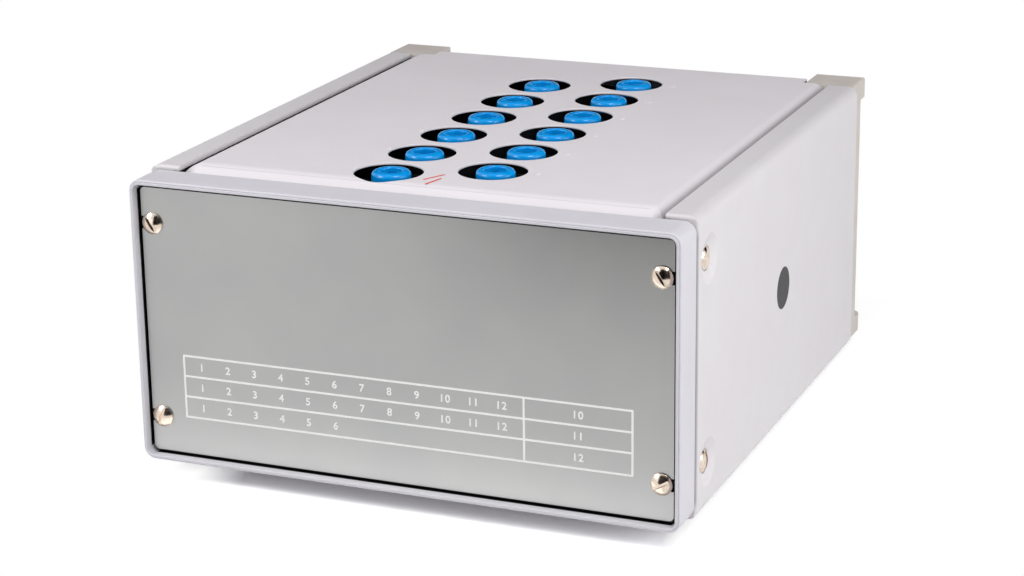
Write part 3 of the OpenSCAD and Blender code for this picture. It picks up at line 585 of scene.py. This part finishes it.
def stroke(mesh, start, end, width, normal, thick):
    """A printed stroke from start to end: a film with rounded ends, lying across normal."""
    start, end, normal = Vector(start), Vector(end), Vector(normal)
    along = (end - start).normalized()
    across = normal.cross(along)
    outline = []
    for centre, first in ((end, -90), (start, 90)):
        for i in range(END_FLATS + 1):
            angle = math.radians(first + 180 * i / END_FLATS)
            outwards = along * math.cos(angle) + across * math.sin(angle)
            outline.append(centre + outwards * width / 2)
    low = [mesh.verts.new(p) for p in outline]
    high = [mesh.verts.new(p + normal * thick) for p in outline]
    mesh.faces.new(high)
    mesh.faces.new(list(reversed(low)))
    for i in range(len(outline)):
        j = (i + 1) % len(outline)
        mesh.faces.new([low[i], low[j], high[j], high[i]])


def strokes(name, lines, width, normal, material, thick=INK):
    """One piece of several printed strokes."""
    mesh = bmesh.new()
    for start, end in lines:
        stroke(mesh, start, end, width, normal, thick)
    piece(name, mesh, material)


def numerals(name, entries, height, material, upright):
    """One piece of plain numbers. Each entry is the text and the middle of its foot. They stand
    on the front plate where upright, and lie on the cover otherwise."""
    mesh = bmesh.new()
    for text, foot in entries:
        curve = bpy.data.curves.new(name, "FONT")
        curve.body = text
        curve.size = height / FIGURE_HEIGHT
        curve.align_x = "CENTER"
        curve.extrude = INK / 2
        curve.offset = BOLDER
        curve.space_character = FIGURE_SPACING
        letters = bpy.data.objects.new(name, curve)
        letters.location = foot
        if upright:
            letters.rotation_euler = (math.radians(90), 0, 0)
        bpy.context.scene.collection.objects.link(letters)
        bpy.context.view_layer.update()
        data = bpy.data.meshes.new_from_object(letters)
        data.transform(letters.matrix_world)
        mesh.from_mesh(data)
        bpy.data.meshes.remove(data)
        bpy.data.objects.remove(letters)
        bpy.data.curves.remove(curve)
    piece(name, mesh, material)


# Ruled table on the front plate, in millimetres across from its middle and up from its middle.
# The ink of the upright rules is thicker, so that its face clears the level rules at crossings.
TABLE_LEFT = -97.4
TABLE_RIGHT = 96.7
TABLE_SPLIT = 52.0
TABLE_ROWS_LEFT = (-13.8, -22.5, -31.3, -40.2)
TABLE_ROWS_RIGHT = (-13.1, -21.8, -30.3, -39.5)
RULE_WIDTH = 0.9 * MM
UPRIGHT_INK = 0.04 * MM
OUT_OF_PLATE = (0, -1, 0)


def on_plate(x_mm, z_mm):
    """A point on the front plate."""
    return (x_mm * MM, PLATE_Y - INK_OFF, PLATE_MID_Z + z_mm * MM)


def row_height(row, x_mm):
    """The height of a level rule, which rises a little to the right, as it was printed."""
    share = (x_mm - TABLE_LEFT) / (TABLE_RIGHT - TABLE_LEFT)
    return TABLE_ROWS_LEFT[row] + (TABLE_ROWS_RIGHT[row] - TABLE_ROWS_LEFT[row]) * share


def on_rule(row, x_mm):
    """A point on a level rule."""
    return on_plate(x_mm, row_height(row, x_mm))


RULES = range(len(TABLE_ROWS_LEFT))
UPRIGHTS = (TABLE_LEFT, TABLE_SPLIT, TABLE_RIGHT)
level_rules = [(on_rule(row, TABLE_LEFT), on_rule(row, TABLE_RIGHT)) for row in RULES]
upright_rules = [(on_rule(RULES[0], x), on_rule(RULES[-1], x)) for x in UPRIGHTS]
strokes("level_rules", level_rules, RULE_WIDTH, OUT_OF_PLATE, white_ink)
strokes("upright_rules", upright_rules, RULE_WIDTH, OUT_OF_PLATE, white_ink, UPRIGHT_INK)

# Plain numbers in the table: a row of them in each wide cell, and one in each narrow cell.
# Their places are in millimetres.
NUMBER_HEIGHT = 3.1 * MM
FIRST_NUMBER = TABLE_LEFT + 8
NUMBER_PITCH = 12.0
NUMBERS_IN_ROWS = (12, 12, 6)
NARROW_CELL = (TABLE_SPLIT + TABLE_RIGHT) / 2
FIRST_IN_NARROW = 10


def in_row(row, x_mm):
    """The foot of a number that stands in the middle of a row."""
    middle = (row_height(row, x_mm) + row_height(row + 1, x_mm)) / 2
    return on_plate(x_mm, middle - NUMBER_HEIGHT / MM / 2)


cells = []
for row, numbers in enumerate(NUMBERS_IN_ROWS):
    for n in range(numbers):
        cells.append((str(n + 1), in_row(row, FIRST_NUMBER + n * NUMBER_PITCH)))
    cells.append((str(row + FIRST_IN_NARROW), in_row(row, NARROW_CELL)))
numerals("table_numbers", cells, NUMBER_HEIGHT, white_ink, upright=True)

# Numbers of the sockets on the cover, odd on the left and even on the right. Each column has
# its name, how far from the middle of a socket its number stands, and its first number.
SOCKET_NUMBER_HEIGHT = 2.3 * MM
COLUMNS = (("left", -16.4 * MM, 1), ("right", 18.0 * MM, 2))
SOCKETS_IN_COLUMN = 6
socket_numbers = []
for word, beside, first in COLUMNS:
    for i in range(SOCKETS_IN_COLUMN):
        low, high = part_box(f"socket_{word}_{i + 1}")
        foot = ((low[0] + high[0]) / 2 + beside, (low[1] + high[1]) / 2, COVER_Z + INK_OFF)
        socket_numbers.append((str(2 * i + first), foot))
numerals("socket_numbers", socket_numbers, SOCKET_NUMBER_HEIGHT, white_ink, upright=False)

# Two plain red bars between the first two sockets: their ends, in millimetres across from the
# middle and back from the front of the case
BARS = (((-1.25, 32.8), (3.45, 41.9)), ((2.4, 26.9), (4.5, 35.9)))
BAR_WIDTH = 1.1 * MM
OUT_OF_COVER = (0, 0, 1)
bars = [[(x * MM, CASE_FRONT_Y + y * MM, COVER_Z + INK_OFF) for x, y in ends] for ends in BARS]
strokes("red_bars", bars, BAR_WIDTH, OUT_OF_COVER, red_ink)


# Studio

# How much light the paper on the table sends back, to the case, and to the camera and in gloss
PAPER = 0.86
SEEN_PAPER = 1.68
ROOM_LIGHT = 0.2
FLOOR_HALF = 4.0
FLOOR_CELLS = 8

# The case's shadow on the table is painted out, fading to white away from the case. It is also
# painted out inside of the case's right side, and in front of the case inside of its left side.
# These are the distances, in millimetres from those sides and from the front, at which the shadow
# is whole and gone.
SHADOW_AWAY = (0, 80)
SHADOW_RIGHT = (-12, -5)
SHADOW_LEFT = (40, 20)
SHADOW_FRONT = (40, 10)

# Half the case's width and length, from which distances along the table are taken
CASE_HALF = (cad_box[1][0], cad_box[1][1], 0.0)


def grey(share):
    """Plain grey that sends back this share of the light."""
    return (share, share, share, 1.0)


def seen_rays(tree):
    """One for rays that come from the camera, or by gloss or glass, and zero for the rest."""
    rays = add(tree, "ShaderNodeLightPath").outputs
    seen = rays["Is Camera Ray"]
    for kind in ("Is Glossy Ray", "Is Transmission Ray"):
        either = add(tree, "ShaderNodeMath", {"operation": "MAXIMUM", 0: seen, 1: rays[kind]})
        seen = either.outputs[0]
    return seen


def shadow_painted_out(tree):
    """One where the case's shadow on the table is painted out to white, and zero where it shows all
    of it.
    """
    place = add(tree, "ShaderNodeTexCoord").outputs["Object"]
    size = add(tree, "ShaderNodeVectorMath", {"operation": "ABSOLUTE", 0: place}).outputs[0]
    past_case = {"operation": "SUBTRACT", 0: size, 1: CASE_HALF}
    beyond = add(tree, "ShaderNodeVectorMath", past_case).outputs[0]
    outside = add(tree, "ShaderNodeVectorMath", {"operation": "MAXIMUM", 0: beyond}).outputs[0]
    away = add(tree, "ShaderNodeVectorMath", {"operation": "LENGTH", 0: outside}).outputs["Value"]
    far = within(tree, (away, 0.0, SHADOW_AWAY))

    half_width, half_length, _ = CASE_HALF
    x, y, _ = add(tree, "ShaderNodeSeparateXYZ", {"Vector": place}).outputs
    right = within(tree, (x, half_width, SHADOW_RIGHT))
    far = add(tree, "ShaderNodeMath", {"operation": "MAXIMUM", 0: far, 1: right}).outputs[0]

    # Gloss still sees the shadow's left end, which keeps the front plate's picture even
    left = within(tree, (x, -half_width, SHADOW_LEFT), (y, -half_length, SHADOW_FRONT))
    camera_ray = add(tree, "ShaderNodeLightPath").outputs["Is Camera Ray"]
    left = add(tree, "ShaderNodeMath", {"operation": "MULTIPLY", 0: left, 1: camera_ray}).outputs[0]
    return add(tree, "ShaderNodeMath", {"operation": "MAXIMUM", 0: far, 1: left}).outputs[0]


def table_paper():
    """Matt white paper on the table. To the camera and in gloss it is as white as the walls, and it
    keeps the case's shadow near the case, except where that is painted out. Away from the case it
    passes into the plain white of the room."""
    material, tree = new_material("white_paper_roll")
    seen = seen_rays(tree)
    tones = {"Color1": grey(PAPER), "Color2": grey(SEEN_PAPER)}
    tone = add(tree, "ShaderNodeMixRGB", {"Fac": seen, **tones}).outputs["Color"]
    paper = add(tree, "ShaderNodeBsdfDiffuse", {"Color": tone}).outputs["BSDF"]
    white = add(tree, "ShaderNodeEmission", {"Color": grey(1.0)}).outputs["Emission"]
    # Where the shadow is painted out, the camera and gloss see plain white
    both = {"operation": "MULTIPLY", 0: shadow_painted_out(tree), 1: seen}
    share = add(tree, "ShaderNodeMath", both).outputs[0]
    mixed = add(tree, "ShaderNodeMixShader", {"Fac": share, 1: paper, 2: white})
    add(tree, "ShaderNodeOutputMaterial", {"Surface": mixed.outputs["Shader"]})
    return material


mesh = bmesh.new()
bmesh.ops.create_grid(mesh, x_segments=FLOOR_CELLS, y_segments=FLOOR_CELLS, size=FLOOR_HALF)
floor = put("table_top", mesh, table_paper())

# The room lights the case dimly, and is plain white to the camera and in gloss
world = bpy.data.worlds.new("white_room")
bpy.context.scene.world = world
world.use_nodes = True
room = world.node_tree
room.nodes.clear()
dim = add(room, "ShaderNodeBackground", {"Color": colour("#fbfaff"), "Strength": ROOM_LIGHT})
bright = add(room, "ShaderNodeBackground", {"Color": grey(1.0)})
lights = {"Fac": seen_rays(room), 1: dim.outputs["Background"], 2: bright.outputs["Background"]}
walls = add(room, "ShaderNodeMixShader", lights)
add(room, "ShaderNodeOutputWorld", {"Surface": walls.outputs["Shader"]})

# The point that the lamps are aimed at
CASE_MIDDLE = Vector((0, 0, 0.07))


def soft_box(name, distance, turn, rise, side, power):
    """A square lamp behind cloth, aimed at the middle of the case. It stands turn degrees to
    the right of straight ahead, and rise degrees up. Its power is in watts, and the distance
    and its side are in metres."""
    across = math.radians(turn)
    up = math.radians(rise)
    ahead = -math.cos(across) * math.cos(up)
    away = Vector((math.sin(across) * math.cos(up), ahead, math.sin(up)))
    lamp = bpy.data.lights.new(name, "AREA")
    lamp.shape = "SQUARE"
    lamp.size = side
    lamp.energy = power
    thing = bpy.data.objects.new(name, lamp)
    thing.location = CASE_MIDDLE + away * distance
    thing.rotation_euler = (-away).to_track_quat("-Z", "Y").to_euler()
    thing.visible_camera = False
    bpy.context.scene.collection.objects.link(thing)


def dark_cloth(name, left, right, foot, top):
    """Black cloth round the set, which only gloss sees. It spans from left to right across, and
    from its foot to its top, each of them a place back from the case and a height."""
    corners = ((left, *foot), (right, *foot), (right, *top), (left, *top))
    mesh = bmesh.new()
    mesh.faces.new([mesh.verts.new(corner) for corner in corners])
    material, tree = new_material(name)
    cloth = add(tree, "ShaderNodeBsdfDiffuse", {"Color": colour("#1a1716")})
    add(tree, "ShaderNodeOutputMaterial", {"Surface": cloth.outputs["BSDF"]})
    card = put(name, mesh, material)
    card.visible_camera = False
    card.visible_diffuse = False
    card.visible_shadow = False


soft_box("left_front", distance=0.85, turn=-50, rise=35, side=0.32, power=3.0)
soft_box("right_front", distance=0.85, turn=50, rise=55, side=0.32, power=3.1)
soft_box("low_right", distance=0.85, turn=50, rise=15, side=0.5, power=0.7)
soft_box("right", distance=1.3, turn=90, rise=15, side=0.6, power=4.9)
soft_box("low_left", distance=1.3, turn=-20, rise=10, side=0.6, power=0.4)

# One cloth hangs in front, right of the middle, and darkens the upper part of the front plate's
# picture of the table. The other leans behind, and gives the nickel its dark side.
dark_cloth("black_cloth_front", left=-0.1, right=0.6, foot=(-0.45, 0.02), top=(-0.45, 0.6))
dark_cloth("black_cloth_rear", left=-1.6, right=1.6, foot=(1.2, 0.3), top=(0.6, 2.4))

# Camera: place and angles come from a fit to the case's straight edges in the photo
CAMERA_PLACE = (404.8 * MM, -989.2 * MM, 391.4 * MM)
CAMERA_TURN = (72.519, 0.764, 22.321)
LENS_MM = 89.87
SENSOR_MM = 36.0

view = bpy.data.cameras.new("photo_view")
view.lens = LENS_MM
view.sensor_width = SENSOR_MM
view.sensor_fit = "HORIZONTAL"
view.clip_start = 0.01
view.clip_end = 50
camera = bpy.data.objects.new("photo_view", view)
camera.location = CAMERA_PLACE
camera.rotation_euler = Euler([math.radians(a) for a in CAMERA_TURN], "XYZ")
bpy.context.scene.collection.objects.link(camera)
bpy.context.scene.camera = camera
bpy.context.scene.view_settings.view_transform = "Standard"

bpy.context.view_layer.update()
